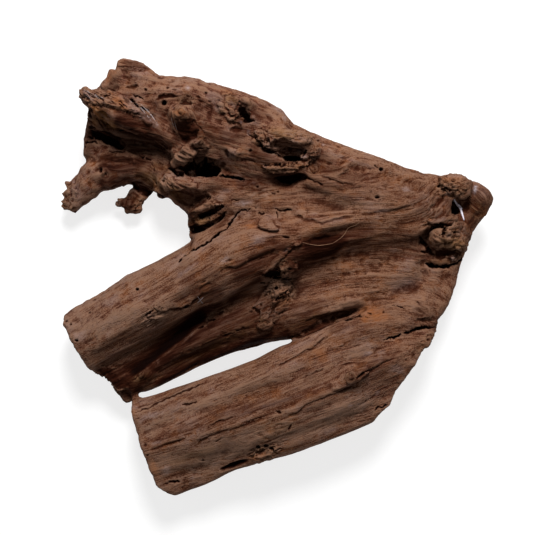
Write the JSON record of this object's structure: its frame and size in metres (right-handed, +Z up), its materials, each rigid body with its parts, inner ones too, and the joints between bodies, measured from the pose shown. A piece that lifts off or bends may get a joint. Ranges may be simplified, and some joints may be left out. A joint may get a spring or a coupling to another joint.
{
  "type": "malaysian driftwood",
  "caption": "Gnarled piece of dark reddish driftwood lying flat: a thick knobbly root trunk and two wide sawn arms that meet in a knotted end.",
  "frame": {"origin": "middle of the wood's outline seen from above, on the surface that it rests on", "axes": "+Z up; +X towards the knotted end; +Y towards the trunk and its root crown; the two arms run towards -X and -Y"},
  "size_m": [0.3262, 0.327, 0.069],
  "materials": {
    "weathered_wood": "dry, weathered, matt, with dark hollows and paler worn ridges"
  },
  "bodies": {
    "root": {"driftwood": "weathered_wood"}
  },
  "joints": []
}
